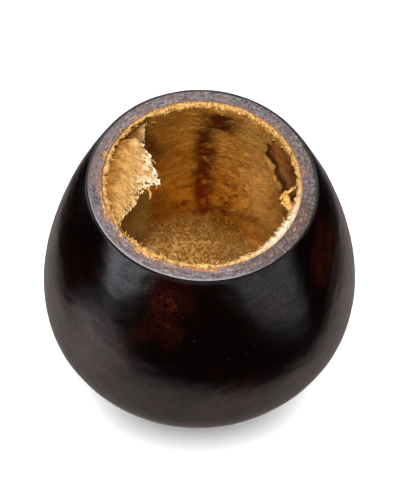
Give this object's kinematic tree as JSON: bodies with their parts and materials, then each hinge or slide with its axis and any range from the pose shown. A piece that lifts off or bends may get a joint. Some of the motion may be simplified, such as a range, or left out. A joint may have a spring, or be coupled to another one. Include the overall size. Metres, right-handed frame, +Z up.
{
  "type": "dried bottle gourd",
  "caption": "Hollow dried gourd cup: dark lacquered rind, flat sawn mouth that dips to one side, and torn straw-coloured pith lining the inside. It stands on a small flat foot.",
  "frame": {"origin": "middle of the flat foot", "axes": "+Z up the gourd's axis through the mouth, +X towards the side where the sawn mouth dips, +Y to the back"},
  "size_m": [0.1002, 0.0998, 0.0896],
  "materials": {
    "rind": "dark brown stain under satin lacquer, bare sawn rim",
    "pith": "dry, spongy and fibrous, straw to amber"
  },
  "bodies": {
    "root": {"rind": "rind", "pith_lining": "pith"}
  },
  "joints": []
}
